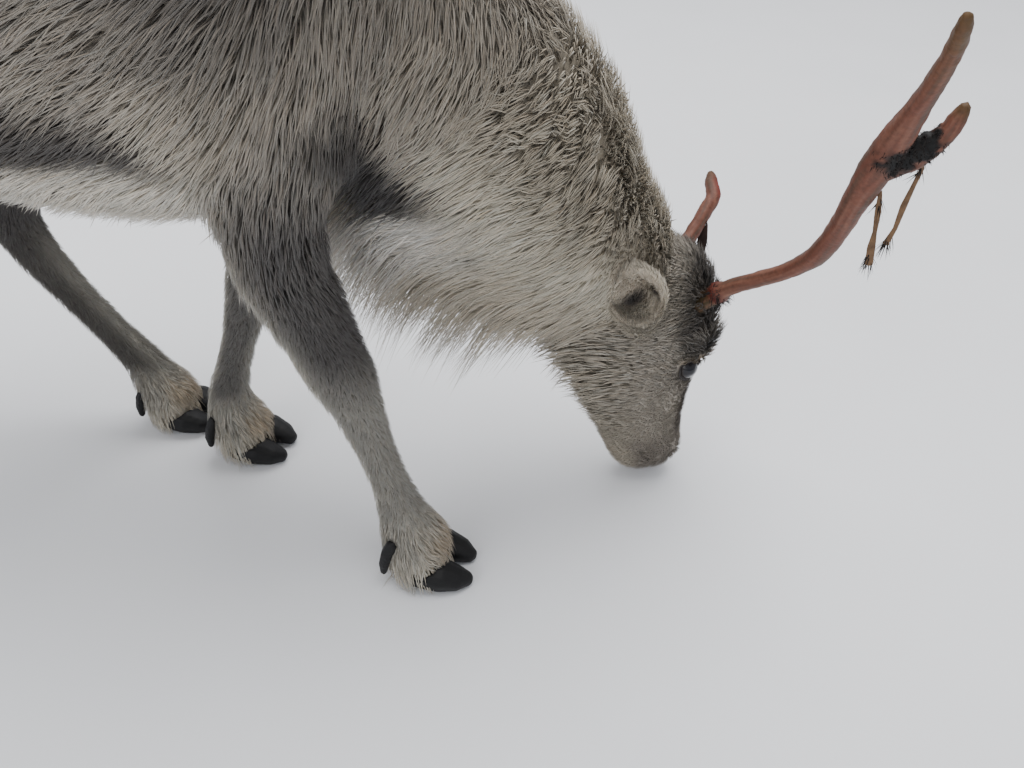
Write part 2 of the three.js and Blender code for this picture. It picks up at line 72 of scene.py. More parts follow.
LEGS = {
    "front_right": [
        (62, -96, 690, 44, 74, 80), (34, -112, 600, 50, 76, 84), (8, -118, 520, 50, 62, 72),
        (14, -113, 440, 43, 46, 56), (36, -107, 365, 37, 40, 46), (55, -103, 300, 34, 38, 42),
        (66, -102, 262, 28, 30, 34), (80, -102, 205, 22, 23, 25), (94, -103, 150, 21, 23, 24),
        (104, -104, 112, 26, 27, 30), (112, -106, 84, 33, 34, 38), (126, -109, 52, 43, 38, 50),
        (136, -111, 26, 47, 33, 54),
    ],
    "front_left": [
        (34, 92, 690, 44, 74, 80), (0, 108, 600, 50, 76, 84), (-38, 114, 520, 50, 62, 72),
        (-72, 108, 440, 43, 46, 56), (-98, 100, 365, 37, 40, 46), (-124, 94, 300, 34, 38, 42),
        (-140, 91, 262, 28, 30, 34), (-162, 87, 205, 22, 23, 25), (-182, 84, 150, 21, 23, 24),
        (-194, 82, 112, 26, 27, 30), (-196, 80, 84, 33, 34, 38), (-186, 78, 52, 43, 38, 50),
        (-176, 77, 26, 47, 33, 54),
    ],
    "hind_right": [
        (-560, -96, 720, 58, 110, 110), (-540, -118, 640, 62, 112, 118),
        (-524, -130, 560, 56, 82, 104), (-566, -130, 480, 44, 56, 66), (-618, -127, 410, 34, 44, 44),
        (-652, -125, 352, 31, 36, 44), (-666, -124, 304, 27, 30, 32), (-682, -122, 240, 24, 25, 26),
        (-698, -121, 165, 23, 23, 24), (-708, -120, 116, 27, 27, 29), (-708, -120, 84, 33, 34, 37),
        (-695, -120, 52, 42, 38, 49), (-684, -120, 26, 46, 33, 53),
    ],
    "hind_left": [
        (-560, 96, 720, 58, 110, 110), (-520, 120, 650, 62, 116, 118), (-450, 138, 575, 56, 88, 100),
        (-442, 138, 490, 44, 60, 66), (-466, 133, 410, 36, 46, 48), (-484, 129, 335, 32, 36, 46),
        (-466, 128, 285, 28, 31, 33), (-432, 128, 225, 24, 26, 27), (-386, 127, 158, 23, 24, 25),
        (-354, 127, 112, 27, 28, 30), (-342, 127, 84, 33, 34, 37), (-323, 127, 52, 42, 38, 49),
        (-312, 127, 26, 46, 33, 53),
    ],
}
BEAM_RIGHT = [
    (446, 108, 300, 13, 13, 13), (466, 98, 324, 11, 11, 11), (487, 79, 350, 10, 10, 10),
    (508, 62, 370, 10, 10, 10), (533, 34, 401, 10, 10, 10), (551, 4, 438, 11, 12, 12),
    (559, -26, 484, 11, 12, 12), (562, -50, 525, 12, 13, 13), (567, -72, 568, 12, 16, 16),
    (572, -92, 605, 11, 15, 15), (576, -111, 637, 10, 11, 11), (578, -134, 670, 9, 9, 9),
    (578, -154, 698, 8, 8, 8), (575, -172, 720, 7, 7, 7), (573, -180, 732, 4, 4, 4),
]
TINE_RIGHT = [
    (569, -76, 572, 9, 15, 15), (588, -86, 591, 9, 16, 16), (602, -91, 603, 9, 12, 12),
    (611, -94, 617, 8, 9, 9), (615, -96, 629, 7, 8, 8), (618, -96, 640, 5, 5, 5),
]
BEAM_LEFT = [
    (414, 168, 318, 13, 13, 13), (424, 186, 336, 11, 11, 11), (435, 205, 351, 10, 10, 10),
    (446, 224, 366, 10, 10, 10), (456, 246, 380, 10, 10, 10), (453, 270, 389, 9, 9, 9),
    (452, 286, 393, 6, 6, 6),
]
LIPS = Vector((0.411, 0.130, 0.013))
HEAD = Matrix.Translation(LIPS)
for degrees, axis in ((20, "Z"), (-3, "Y"), (-2, "X")):
    HEAD = HEAD @ Matrix.Rotation(math.radians(degrees), 4, axis)
EYE = Vector((0.033, 0.049, 0.190))
EAR_ROOT = np.array([-0.038, 0.053, 0.272])
EAR_WAY = np.array([-0.20, 0.34, 0.91])
EAR_OPEN = np.array([-0.28, 0.92, -0.29])
EYE_RADIUS = 0.0148
SLIT_LONG, SLIT_HIGH = 0.0118, 0.0072  # half sizes of the opening between the lids
EYE_SET = np.array([-0.0025, -0.0060, 0.0])  # how much deeper the eye sits among its lids
EYE_OUT = np.array([0.14, 0.97, 0.16])
EYE_LONG = np.array([-0.80, 0.20, 0.56])

# The CAD group stands on the middle of its footprint; one eye tells how far it was moved.
low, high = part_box("eye_right")
SHIFT = np.array((low + high) / 2 - HEAD @ Vector((EYE.x, -EYE.y, EYE.z)))
BODY = Matrix.Translation(Vector(SHIFT))
HEAD_ROW = BODY @ HEAD
HEAD_AT, HEAD_TURN = np.array(HEAD_ROW.translation), np.array(HEAD_ROW.to_3x3())

COAT_TRIANGLES = 1400000
EAR_TRIANGLES = 26000
PIECE_TRIANGLES = 190000  # the most that one piece of coat holds
SHORT_HAIR = 0.021  # hair below this length has no middle
BAKE_SPOT = 0.0015  # half size of a tuft's patch in OFBake


def srgb(*c):
    """A colour named in 0 to 255 display values, as the linear light that shaders use."""
    c = np.array(c, float) / 255
    return np.where(c <= 0.04045, c / 12.92, ((c + 0.055) / 1.055) ** 2.4)


def unit(v):
    return v / np.maximum(np.linalg.norm(v, axis=-1, keepdims=True), 1e-9)


def step(low, high, x):
    """A soft step from 0 at low to 1 at high."""
    t = np.clip((np.asarray(x, float) - low) / (high - low), 0, 1)
    return t * t * (3 - 2 * t)


def mix(a, b, w):
    """From colour a to colour b by a weight for each point."""
    return a * (1 - w[:, None]) + b * w[:, None]


def in_head(p):
    """Points of the row frame in the head's own frame."""
    return (p - HEAD_AT) @ HEAD_TURN


def eye_axes(s):
    """The way an eye looks, its way from corner to corner and the way across both, in the head's frame."""
    flip = np.array([1, s, 1])
    out = unit(EYE_OUT * flip)
    long = EYE_LONG * flip
    long = unit(long - out * (long @ out))
    return out, long, np.cross(out, long)


def smooth_at(values, t):
    """Values on a smooth line through stations."""
    last = len(values) - 1
    i = np.clip(np.floor(t).astype(int), 0, last - 1)
    f = (t - i)[:, None]
    a, b = values[np.maximum(0, i - 1)], values[i]
    c, d = values[i + 1], values[np.minimum(last, i + 2)]
    return 0.5 * (2 * b + (c - a) * f + (2 * a - 5 * b + 4 * c - d) * f**2 + (3 * b - a - 3 * c + d) * f**3)


class Limb:
    """A row of stations in the row frame, and where any point lies along and round it."""

    def __init__(self, rows, matrix=BODY, side=(0, 1, 0), steps=6):
        rows = np.array(rows, float) * MM
        last = len(rows) - 1
        self.span = last
        t = np.linspace(0, last, last * steps + 1)
        inside = np.clip(t, 0, last - 1e-6)
        at = smooth_at(rows, inside)
        ahead = smooth_at(rows, np.clip(t + 0.3, 0, last - 1e-6))[:, :3]
        behind = smooth_at(rows, np.clip(t - 0.3, 0, last - 1e-6))[:, :3]
        turn = np.array(matrix.to_3x3())
        self.t = t / last
        self.centre = at[:, :3] @ turn.T + np.array(matrix.translation)
        self.along = unit((ahead - behind) @ turn.T)
        wide = np.array(side, float) @ turn.T
        self.across = unit(wide - self.along * (self.along @ wide)[:, None])
        self.up = np.cross(self.along, self.across)
        self.half, self.front, self.back = at[:, 3], at[:, 4], at[:, 5]

    def coords(self, p):
        """For points: place along (0 to 1), sideways and up in half widths, distance, and nearest slice."""
        best = np.full(len(p), 1e9)
        out = np.zeros((len(p), 3))
        slot = np.zeros(len(p), int)
        gap = np.linalg.norm(np.gradient(self.centre, axis=0), axis=1)
        for i, t in enumerate(self.t):
            d = p - self.centre[i]
            a, x, y = d @ self.along[i], d @ self.across[i] / self.half[i], d @ self.up[i]
            y = np.where(y > 0, y / self.front[i], y / self.back[i])
            size = (self.half[i] + self.front[i] + self.back[i]) / 3
            r = np.sqrt(x * x + y * y + (a / size) ** 2)
            near = r < best
            best[near] = r[near]
            slot[near] = i
            shift = np.clip(a / gap[i], -0.6, 0.6) / (len(self.t) - 1)
            out[near] = np.stack([np.clip(t + shift, 0, 1), x, y], 1)[near]
        return out[:, 0], out[:, 1], out[:, 2], best, slot


def rings_mesh(limb, sides=32, square=2.0, cap=0.4):
    """A closed tube through a limb's sections, made of circles that are shaped and bridged."""
    bm = bmesh.new()
    rings = []
    for i in range(len(limb.t)):
        made = bmesh.ops.create_circle(bm, segments=sides, radius=1)["verts"]
        for v in made:
            c, s = v.co.x, v.co.y
            full = (abs(c) ** square + abs(s) ** square) ** (-1 / square)
            x = limb.half[i] * c * full
            y = (limb.front[i] if s > 0 else limb.back[i]) * s * full
            v.co = Vector(limb.centre[i] + limb.across[i] * x + limb.up[i] * y)
        rings.append(list({e for v in made for e in v.link_edges}))
    for a, b in zip(rings, rings[1:]):
        bmesh.ops.bridge_loops(bm, edges=a + b)
    for edges, i, way in ((rings[0], 0, -1), (rings[-1], -1, 1)):
        face = bmesh.ops.contextual_create(bm, geom=edges)["faces"]
        poked = bmesh.ops.poke(bm, faces=face)["verts"]
        reach = cap * min(limb.half[i], limb.front[i], limb.back[i])
        poked[0].co = Vector(limb.centre[i] + limb.along[i] * way * reach)
    bmesh.ops.recalc_face_normals(bm, faces=bm.faces)
    return bm


trunk, neck, skull, tail = Limb(TRUNK), Limb(NECK), Limb(SKULL, HEAD_ROW), Limb(TAIL)
legs = {name: Limb(rows, steps=4) for name, rows in LEGS.items()}


# Meshes
def cad_bmesh(name):
    """A merged copy of a CAD node's mesh."""
    bm = bmesh.new()
    bm.from_mesh(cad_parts[name].data)
    bmesh.ops.remove_doubles(bm, verts=bm.verts, dist=1e-5)
    return bm


def to_object(name, bm):
    """A smooth-shaded object of this mesh, in the scene."""
    mesh = bpy.data.meshes.new(name)
    bm.to_mesh(mesh)
    bm.free()
    mesh.polygons.foreach_set("use_smooth", [True] * len(mesh.polygons))
    obj = bpy.data.objects.new(name, mesh)
    bpy.context.scene.collection.objects.link(obj)
    return obj


def remeshed(name, bms, voxel):
    """One closed surface round all of these closed meshes."""
    whole = bmesh.new()
    for bm in bms:
        for v in bm.verts:
            v.co += v.normal * 0.0004
        part = bpy.data.meshes.new("part")
        bm.to_mesh(part)
        bm.free()
        whole.from_mesh(part)
        bpy.data.meshes.remove(part)
    obj = to_object(name, whole)
    wrap = obj.modifiers.new("wrap", "REMESH")
    wrap.mode = "VOXEL"
    wrap.voxel_size = voxel
    made = bpy.data.meshes.new_from_object(obj.evaluated_get(bpy.context.evaluated_depsgraph_get()))
    obj.modifiers.clear()
    obj.data = made
    return obj


def arrays(obj):
    """Vertex places and normals."""
    n = len(obj.data.vertices)
    co, no = np.zeros(n * 3, np.float32), np.zeros(n * 3, np.float32)
    obj.data.vertices.foreach_get("co", co)
    obj.data.vertices.foreach_get("normal", no)
    return co.reshape(-1, 3).astype(float), no.reshape(-1, 3).astype(float)


def place(obj, co):
    obj.data.vertices.foreach_set("co", co.astype(np.float32).ravel())
    obj.data.update()


def smooth_verts(obj, times):
    """Relaxes a mesh by moving its vertices half way to their neighbours, a number of times."""
    bm = bmesh.new()
    bm.from_mesh(obj.data)
    for _ in range(times):
        bmesh.ops.smooth_vert(
            bm, verts=bm.verts, factor=0.5, use_axis_x=True, use_axis_y=True, use_axis_z=True)
    bm.to_mesh(obj.data)
    bm.free()


def tint(obj, colours):
    """Paints a colour on each vertex, for the materials to read."""
    layer = obj.data.color_attributes.new("Tint", "FLOAT_COLOR", "POINT")
    rgba = np.ones((len(colours), 4), np.float32)
    rgba[:, :3] = np.clip(colours, 0, 1)
    layer.data.foreach_set("color", rgba.ravel())


# Colours of the coat
GREY_BROWN = srgb(148, 139, 126)
PALE_STREAK = srgb(190, 180, 162)
FLANK_DARK = srgb(56, 48, 40)
SHOULDER_DARK = srgb(38, 32, 28)
BELLY = srgb(218, 211, 197)
CREAM = srgb(214, 205, 186)
NECK_PALE = srgb(208, 200, 182)
NAPE = srgb(172, 162, 144)
NAPE_DARK = srgb(92, 82, 70)
THROAT = srgb(200, 190, 172)
HEAD_GREY = srgb(168, 160, 148)
CHEEK = srgb(174, 166, 151)
CROWN = srgb(42, 35, 29)
NOSE_DARK = srgb(58, 50, 45)
MUZZLE = srgb(134, 126, 117)
LEG = srgb(148, 144, 134)
LEG_FRONT = srgb(62, 57, 54)
LEG_FRINGE = srgb(206, 200, 186)
FETLOCK = srgb(184, 178, 165)
TAWNY = srgb(172, 148, 114)
WHITE = srgb(238, 233, 224)


def blend(base, *layers):
    """Colours laid over each other, each with its own weight for every point."""
    out = np.broadcast_to(base, (len(layers[0][1]), 3)).copy()
    for colour, w in layers:
        out = out * (1 - w[:, None]) + colour * w[:, None]
    return out


def bump_at(x, centre, width):
    """A soft bump, 1 at the centre."""
    return np.exp(-(((x - centre) / width) ** 2))


def wander(p, scale, seed=0.0):
    """Soft seeded waves through space, about -1 to 1."""
    q = p * scale + seed
    a = np.sin(q[:, 0] * 1.7 + 1.3 * np.sin(q[:, 1] * 1.1 + 0.7 * q[:, 2]))
    b = np.sin(q[:, 1] * 2.3 + 1.1 * np.sin(q[:, 2] * 1.9 + 0.5 * q[:, 0]))
    c = np.sin(q[:, 2] * 2.1 + 1.7 * np.sin(q[:, 0] * 0.9 + 1.3 * q[:, 1]))
    return (a + b + c) / 3


# The coat of each part, from points and their places in its limb: colour, lie, length, width, depth,
# clumping, hang, and how far it stands off the skin
def trunk_field(p, t, x, y, slot):
    back_x = p[:, 0] - SHIFT[0]
    z = p[:, 2] - SHIFT[2]
    edge = z + 0.012 * wander(p, 26)
    stripe_low = 0.570 + 0.05 * step(-0.20, -0.60, back_x)
    stripe_high = stripe_low + 0.030 + 0.095 * step(-0.05, -0.42, back_x)
    above_low = step(stripe_low - 0.010, stripe_low + 0.012, edge)
    stripe = above_low * (1 - step(stripe_high - 0.012, stripe_high + 0.045, edge))
    stripe = stripe * step(0.0, -0.06, back_x) * (1 - step(-0.50, -0.66, back_x))
    under = (1 - step(stripe_low - 0.010, stripe_low + 0.010, edge)) * step(0.06, -0.02, back_x)
    elbow = bump_at(back_x, -0.035, 0.034) * bump_at(z, 0.585, 0.055) * 0.9
    rump = step(-0.68, -0.74, back_x) * bump_at(x, 0, 0.6)
    streak = np.clip(wander(p * np.array([0.5, 1, 1]), 60, 3) * 0.5 + 0.25, 0, 1)
    blade = bump_at(back_x, 0.03, 0.10) * step(0.62, 0.74, z)
    colour = blend(GREY_BROWN, (PALE_STREAK, streak * 0.55), (LEG_FRONT, blade * 0.7), (CREAM, elbow),
                   (FLANK_DARK, stripe), (BELLY, under), (WHITE, rump * 0.8))
    flow = -trunk.along[slot] + np.array([0, 0, -0.42])
    front = step(-0.05, 0.08, back_x)[:, None]
    flow = flow * (1 - front) + front * np.array([-0.5, 0, -0.9])
    haunch = (step(-0.48, -0.62, back_x) * step(0.80, 0.70, z))[:, None]
    flow = flow * (1 - haunch) + haunch * np.array([-0.45, 0, -0.9])
    length = 0.046 + 0.012 * under + 0.006 * wander(p, 9)
    n = np.ones(len(p))
    return colour, flow, length, 0.0018 * n, 0.014 * n, 0.10 + 0.12 * front[:, 0], 0.06 * n, 0 * n


def neck_field(p, t, x, y, slot):
    along, across = neck.along[slot], neck.across[slot]
    throat = step(0.02, -0.42, y + 0.10 * wander(p, 22, 5))
    nape = step(0.05, 0.60, y)
    roots = np.clip(0.45 + wander(p, 90, 2), 0, 1)
    base = step(0.30, 0.05, t)
    colour = blend(NECK_PALE, (NAPE, nape * 0.85), (THROAT, throat),
                   (SHOULDER_DARK, base * (1 - throat) * 0.45), (NAPE_DARK, nape * roots * 0.3))
    flank = np.clip(x * 1.6, -1, 1)[:, None]
    flow = -along * (0.75 + 0.6 * nape[:, None]) + across * 0.35 * flank + np.array([-0.25, 0, -0.8])
    beard = step(-0.20, -0.75, y)
    ridge = step(0.62, 0.95, y)
    length = 0.046 - 0.018 * nape + 0.012 * ridge + 0.070 * beard
    depth = np.full(len(p), 0.004)
    stand = 0.010 * nape + 0.012 * ridge
    return colour, flow, length, 0.0017 + 0.0001 * nape, depth, 0.30 + 0.32 * nape, 0.06 + 0.66 * beard, stand


def skull_field(p, t, x, y, slot):
    along, up = skull.along[slot], skull.up[slot]
    local = in_head(p)
    lx, ly, lz = local[:, 0], np.abs(local[:, 1]), local[:, 2]
    crown = step(0.228, 0.252, lz) * step(0.0, 0.035, lx) * (1 - step(0.315, 0.35, lz))
    brow = bump_at(lz, 0.225, 0.015) * bump_at(ly, 0.046, 0.028) * step(0.012, 0.032, lx)
    tan = bump_at(lz, 0.203, 0.008) * bump_at(ly, 0.050, 0.020) * step(0.01, 0.03, lx)
    bridge = step(0.55, 0.85, y) * step(0.22, 0.18, lz) * step(0.04, 0.07, lz)
    muzzle = step(0.085, 0.045, lz)
    chin = step(-0.25, -0.65, y) * step(0.30, 0.10, lz)
    jaw = step(-0.10, -0.7, y)
    eye = np.stack([np.full(len(p), EYE.x), np.sign(local[:, 1]) * EYE.y, np.full(len(p), EYE.z)], 1)
    ring_eye = np.exp(-((np.linalg.norm(local - eye, axis=1) / 0.026) ** 4))
    colour = blend(HEAD_GREY, (CHEEK, jaw * 0.8), (THROAT, jaw * step(0.05, 0.20, lz) * 0.3),
                   (NOSE_DARK, bridge * 0.85), (MUZZLE, muzzle * 0.85), (CROWN, crown * 0.95),
                   (TAWNY, tan * 0.7), (CROWN * 0.5, brow), (THROAT, chin * muzzle * 0.6),
                   (CROWN, ring_eye * 0.55))
    side = (1 - step(0.55, 0.95, y))[:, None]
    flow = -along * (1 - 0.35 * side) - up * 0.8 * side + np.array([0, 0, -0.15])
    rear = step(0.04, 0.20, lz) * step(-0.15, -0.70, y)
    tuft = np.maximum(crown, brow)
    length = 0.009 + 0.010 * step(0.07, 0.20, lz) + 0.040 * rear + 0.012 * tuft
    width = 0.0012 + 0.0010 * rear + 0.0003 * step(0.10, 0.20, lz)
    depth = 0.0025 + 0.004 * step(0.12, 0.30, lz) + 0.012 * rear
    stand = 0.005 * tuft + 0.015 * rear * step(0.26, 0.18, lz)
    return colour, flow, length, width, depth, 0.35 + 0.2 * rear, 0.05 + 0.40 * rear, stand


def leg_field(limb, name):
    outer = -1 if name.endswith("right") else 1

    def field(p, t, x, y, slot):
        along, up = limb.along[slot], limb.up[slot]
        z = p[:, 2]
        front = step(0.2, 0.8, y)
        rear = step(-0.35, -0.85, y)
        inner = step(0.2, 0.8, -x * outer)
        foot = step(0.125, 0.085, z)
        hem = step(0.062, 0.036, z)
        high = step(0.36, 0.50, z)
        shin = step(-0.9, 0.2, y) * step(0.26, 0.36, z) * step(0.62, 0.50, z)
        # The inner side of each leg, above the foot, is darkened with LEG_FRONT as painted shade
        colour = blend(LEG, (GREY_BROWN, high * 0.7), (LEG_FRONT, shin * 0.95),
                       (LEG_FRINGE, rear * (1 - foot) * 0.75), (LEG_FRONT, inner * (1 - foot) * 0.75),
                       (FETLOCK, foot * 0.6), (CREAM, hem * 0.8),
                       (TAWNY, foot * front * bump_at(z, 0.065, 0.02) * 0.6),
                       (NOSE_DARK, foot * step(0.036, 0.024, z) * 0.4))
        flow = along - up * 0.25 * rear[:, None] + np.array([0, 0, -0.2])
        length = 0.013 + 0.022 * high + 0.016 * rear + 0.008 * foot + 0.030 * hem
        width = 0.0013 + 0.0007 * high + 0.0002 * foot
        depth = 0.0035 + 0.009 * high + 0.0015 * foot
        return colour, flow, length, width, depth, 0.32 + 0.2 * foot + 0.1 * rear, 0.06 + 0.2 * hem, 0 * z

    return field


def tail_field(p, t, x, y, slot):
    colour = blend(WHITE, (GREY_BROWN, step(0.3, -0.5, y) * step(0.5, 0.2, t) * 0.5))
    n = np.ones(len(p))
    return colour, tail.along[slot], 0.045 * n, 0.0024 * n, 0.006 * n, 0.4 * n, 0 * n, 0 * n


PARTS = [(trunk, trunk_field), (neck, neck_field), (skull, skull_field), (tail, tail_field)]
PARTS += [(limb, leg_field(limb, name)) for name, limb in legs.items()]


def coat_at(p):
    """The coat at these points: the values of the fields blended between parts, and the unwrap."""
    found = [limb.coords(p) for limb, _ in PARTS]
    distance = np.stack([f[3] for f in found], 1)
    weight = np.exp(-14 * (distance - distance.min(1, keepdims=True)))
    weight /= weight.sum(1, keepdims=True)
    total = None
    for k, ((_, field), (t, x, y, _, slot)) in enumerate(zip(PARTS, found)):
        values = field(p, t, x, y, slot)
        w = weight[:, k]
        values = [v * (w[:, None] if np.ndim(v) == 2 else w) for v in values]
        total = values if total is None else [a + b for a, b in zip(total, values)]
    x = p[:, 0] - SHIFT[0] + 0.006 * wander(p, 40)
    z = p[:, 2] - SHIFT[2] + 0.008 * wander(p, 34, 2)
    on_trunk, on_neck = weight[:, 0], weight[:, 1]
    ahead, above = x - 0.120, z - 0.578 + 0.060 * on_neck
    lengthways, crossways = ahead * 0.745 - above * 0.667, ahead * 0.667 + above * 0.745
    patch = np.exp(-((lengthways / 0.066) ** 4 + (crossways / 0.036) ** 4))
    chest = bump_at(x, 0.125, 0.075) * step(0.500, 0.480, z) * step(0.38, 0.42, z) * (on_trunk + on_neck)
    total[0] = blend(total[0], (SHOULDER_DARK, patch), (WHITE, chest))
    nearest = distance.argmin(1)
    uv = np.zeros((len(p), 2))
    for k, (t, x, y, _, _) in enumerate(found):
        own = nearest == k
        turn = (np.arctan2(x, y) / (2 * np.pi) + 0.5) % 1
        column, row = k % 3, k // 3
        uv[own] = np.stack([(column + 0.02 + 0.96 * turn) / 3, (row + 0.02 + 0.96 * t) / 3], 1)[own]
    return (*total, uv)


# Skin
skin_nodes = ["torso", "tail", "neck_lower", "neck_upper", "head"]
skin_nodes += [f"leg_{name}_{part}" for name in LEGS for part in ("upper", "cannon", "foot")]
solids = [cad_bmesh(n) for n in skin_nodes if not n.startswith(("neck", "head"))]
solids += [rings_mesh(neck, 32, 2.1), rings_mesh(skull, 40, 2.2)]
skin = remeshed("skin", solids, 0.0048)
smooth_verts(skin, 6)


def split_region(obj, inside):
    """Halves the edges of the faces that have a corner inside a region."""
    bm = bmesh.new()
    bm.from_mesh(obj.data)
    edges = [e for e in bm.edges if inside(e.verts[0].co) or inside(e.verts[1].co)]
    bmesh.ops.subdivide_edges(bm, edges=edges, cuts=1, use_grid_fill=True)
    bmesh.ops.triangulate(bm, faces=[f for f in bm.faces if len(f.verts) > 4])
    bm.to_mesh(obj.data)
    bm.free()


to_head = HEAD_ROW.inverted()


def near_face(co):
    q = to_head @ co
    return q.z < 0.235 and q.x > -0.09 and abs(q.y) < 0.08


def near_feature(co):
    q = to_head @ co
    eye = (Vector((q.x, abs(q.y), q.z)) - EYE).length < 0.032
    return (eye or q.z < 0.065) and abs(q.y) < 0.09


split_region(skin, near_face)
split_region(skin, near_feature)
smooth_verts(skin, 2)

co, no = arrays(skin)
depth = coat_at(co)[4]
place(skin, co - no * depth[:, None])
smooth_verts(skin, 3)


def polyline_distance(p, points):
    """Distance from points to a row of straight lengths."""
    best = np.full(len(p), 1e9)
    for a, b in zip(points, points[1:]):
        a, b = np.array(a, float), np.array(b, float)
        d = b - a
        s = np.clip(((p - a) @ d) / (d @ d), 0, 1)
        best = np.minimum(best, np.linalg.norm(p - a - s[:, None] * d, axis=1))
    return best


# Soft bumps of the brow, the cheek and the rim of the nostril, as in the CAD source
SWELLS = [
    (np.array([0.052, 0.044, 0.226]), 0.042, 0.010),
    (np.array([0.057, 0.038, 0.197]), 0.024, 0.005),
    (np.array([-0.050, 0.050, 0.190]), 0.070, 0.007),
    (np.array([0.022, 0.034, 0.042]), 0.032, 0.004),
]


# The mouth's line on one side, from the front of the lips back
MOUTH = [
    (0.034, 0.000, 0.006), (0.020, 0.020, 0.006), (0.002, 0.031, 0.016),
    (-0.014, 0.036, 0.032), (-0.024, 0.037, 0.050),
]


def swell(q):
    """Raises the soft bumps on both sides of the head."""
    core = q - np.stack([np.full(len(q), -0.005), np.zeros(len(q)), q[:, 2]], 1)
    for at, radius, by in SWELLS:
        for s in (1, -1):
            near = np.clip(1 - ((q - at * np.array([1, s, 1])) ** 2).sum(1) / radius**2, 0, 1)
            q = q + unit(core) * (by * near * near)[:, None]
    return q


def sculpt_eye(q, s):
    """The lids of one eye and the gland below its corner: new places, how bare and how dark."""
    eye = (np.array(EYE) + EYE_SET) * np.array([1, s, 1])
    out, long, high = eye_axes(s)
    d = q - eye
    r = np.linalg.norm(d, axis=1)
    a, b = d @ long - 0.0020, d @ high
    narrow = 1 - 0.30 * np.clip(a / SLIT_LONG, -1, 1) ** 2
    opening = np.sqrt((a / SLIT_LONG) ** 2 + (b / (SLIT_HIGH * narrow)) ** 2)
    here = (r < 0.034) & (d @ out > -0.004)
    rim = 0.0172 + 0.0016 * bump_at(opening, 1.25, 0.25)
    wanted = np.where(opening < 1.0, 0.0115, rim)
    moved = eye + d / np.maximum(r, 1e-6)[:, None] * wanted[:, None]
    w = (here * step(0.030, 0.018, r))[:, None]
    q = q * (1 - w) + moved * w
    bare = here * (1 - step(1.15, 1.45, opening))
    dark = here * (1 - step(1.2, 1.6, opening))
    gland = polyline_distance(q, [eye + [0.010, -0.004 * s, -0.022], eye + [0.013, -0.008 * s, -0.034]])
    q = q - out * (0.0012 * np.exp(-((gland / 0.0028) ** 2)))[:, None]
    return q, bare, np.maximum(dark, 0.8 * np.exp(-((gland / 0.003) ** 2)))


def sculpt_nostril(q, s):
    """A deep slit with a raised rim: new places, how bare and how dark."""
    away = unit(np.array([0.75, 0.62 * s, -0.15]))
    lengthways = unit(np.array([-0.45, 0.25 * s, 0.86]))
    d = q - np.array([0.036, 0.026 * s, 0.040])
    lie = d @ lengthways
    cross = np.linalg.norm(d - lie[:, None] * lengthways, axis=1)
    e = np.sqrt((lie / 0.0105) ** 2 + (cross / 0.0062) ** 2)
    near = np.linalg.norm(d, axis=1) < 0.03
    deep = np.exp(-(e**4)) * near
    rim = bump_at(e, 1.45, 0.30) * near
    q = q - away * (0.0095 * deep)[:, None] + away * (0.0016 * rim)[:, None]
    return q, deep, deep


def sculpt_mouth(q, s):
    """A groove between full lips: new places, how bare and how dark."""
    m = polyline_distance(q, [np.array(at) * [1, s, 1] for at in MOUTH])
    inward = unit(q - np.array([-0.006, 0, 0.03]))
    q = q - inward * (0.0042 * np.exp(-((m / 0.0020) ** 2)))[:, None]
    q = q + inward * (0.0016 * bump_at(m, 0.0055, 0.003))[:, None]
    return q, np.exp(-((m / 0.0022) ** 2)), np.exp(-((m / 0.0026) ** 2))


def sculpt_head(co):
    """The head's features, in its own frame. Returns the places, and how bare and how dark each is."""
    q = swell(in_head(co))
    bare, dark = np.zeros(len(q)), np.zeros(len(q))
    for s in (1, -1):
        for feature in (sculpt_eye, sculpt_nostril, sculpt_mouth):
            q, is_bare, is_dark = feature(q, s)
            bare, dark = np.maximum(bare, is_bare), np.maximum(dark, is_dark)
    return q @ HEAD_TURN.T + HEAD_AT, bare, dark


co, no = arrays(skin)
co, bare, dark = sculpt_head(co)
place(skin, co)
colour = coat_at(co)[0]
BARE_SKIN = srgb(44, 38, 36)
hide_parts(*skin_nodes)
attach(skin, "root")


# The coat of tufts. Each tuft is a closed blade: a three-cornered root and middle, and a tip.
# Short hair has no middle.
LONG = {
    "tag": "long", "triangles": 10, "starts": np.array([0, 4, 8, 12, 15, 18, 21]),
    "corners": np.array([0, 3, 5, 2, 1, 2, 5, 4, 0, 1, 4, 3, 3, 6, 5, 5, 6, 4, 3, 4, 6, 0, 2, 1]),
}
SHORT = {
    "tag": "short", "triangles": 4, "starts": np.array([0, 3, 6, 9]),
    "corners": np.array([0, 3, 2, 2, 3, 1, 0, 1, 3, 0, 2, 1]),
}


